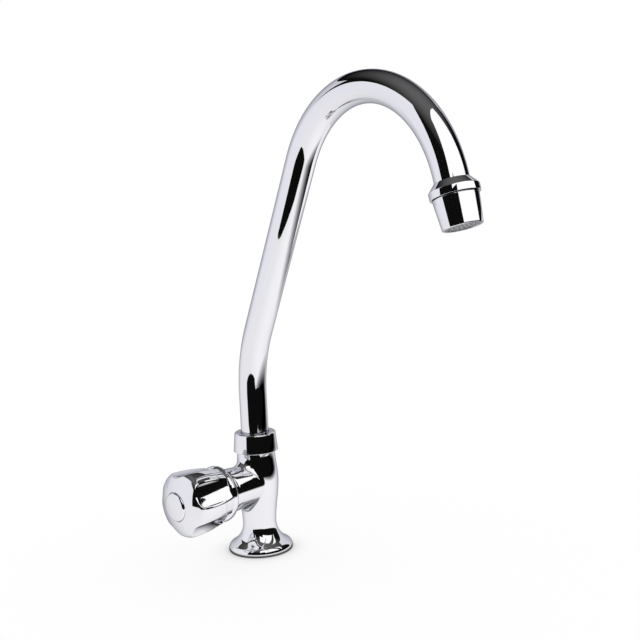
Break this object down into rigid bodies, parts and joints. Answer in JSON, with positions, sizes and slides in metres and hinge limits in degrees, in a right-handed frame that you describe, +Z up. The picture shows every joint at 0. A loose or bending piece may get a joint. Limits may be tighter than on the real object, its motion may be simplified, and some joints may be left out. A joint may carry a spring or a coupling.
{
  "type": "kitchen tap",
  "caption": "Chrome single-hole kitchen tap with a tall swivelling swan-neck spout, an aerator and a fluted side knob that works a screw-down valve.",
  "frame": {"origin": "centre of the foot's underside, on the worktop, on the axis of the column", "axes": "+Z up along the column; the valve's barrel and knob point along -X; at rest the spout points along -Y, swung 9.5 degrees towards the knob"},
  "size_m": [0.0968, 0.241, 0.3687],
  "materials": {
    "chrome": "polished chrome plating",
    "brass": "turned brass",
    "steel": "stainless steel",
    "rubber": "black rubber",
    "white_plastic": "moulded acetal",
    "fibre": "vulcanised fibre"
  },
  "bodies": {
    "tap_body": {"body_casting": "chrome", "foot_seal": "rubber", "clamp_seal": "rubber", "clamp_washer": "steel", "backnut": "brass", "headwork_body": "brass", "headwork_washer": "fibre", "collar_nut": "chrome", "lower_slip_ring": "white_plastic"},
    "spout": {"spout_tube": "chrome", "spout_foot": "brass", "spout_o_rings": "rubber", "upper_slip_ring": "white_plastic", "outlet_collar": "chrome", "aerator_housing": "chrome", "aerator_insert": "white_plastic", "aerator_screens": "steel", "aerator_gasket": "rubber"},
    "knob": {"knob_shell": "chrome", "knob_rear_ring": "chrome", "index_button": "chrome", "knob_screw": "steel", "spindle": "brass", "spindle_o_rings": "rubber", "spindle_circlip": "steel"},
    "valve_plunger": {"plunger": "brass", "seat_washer": "rubber", "washer_screw": "steel"}
  },
  "joints": [
    {"name": "spout_swivel", "type": "hinge", "parent": "tap_body", "child": "spout", "pos_m": [0, 0, 0.0785], "axis": [0, 0, 1], "continuous": true},
    {"name": "knob_turn", "type": "hinge", "parent": "tap_body", "child": "knob", "pos_m": [-0.0466, 0, 0.0475], "axis": [-1, 0, 0], "range_deg": [0, 900]},
    {"name": "plunger_slide", "type": "slide", "parent": "tap_body", "child": "valve_plunger", "axis": [-1, 0, 0], "range_m": [0, 0.005]}
  ],
  "couplings": [
    {"joint": "plunger_slide", "follows": "knob_turn", "m_per_rad": 0.0003183}
  ]
}
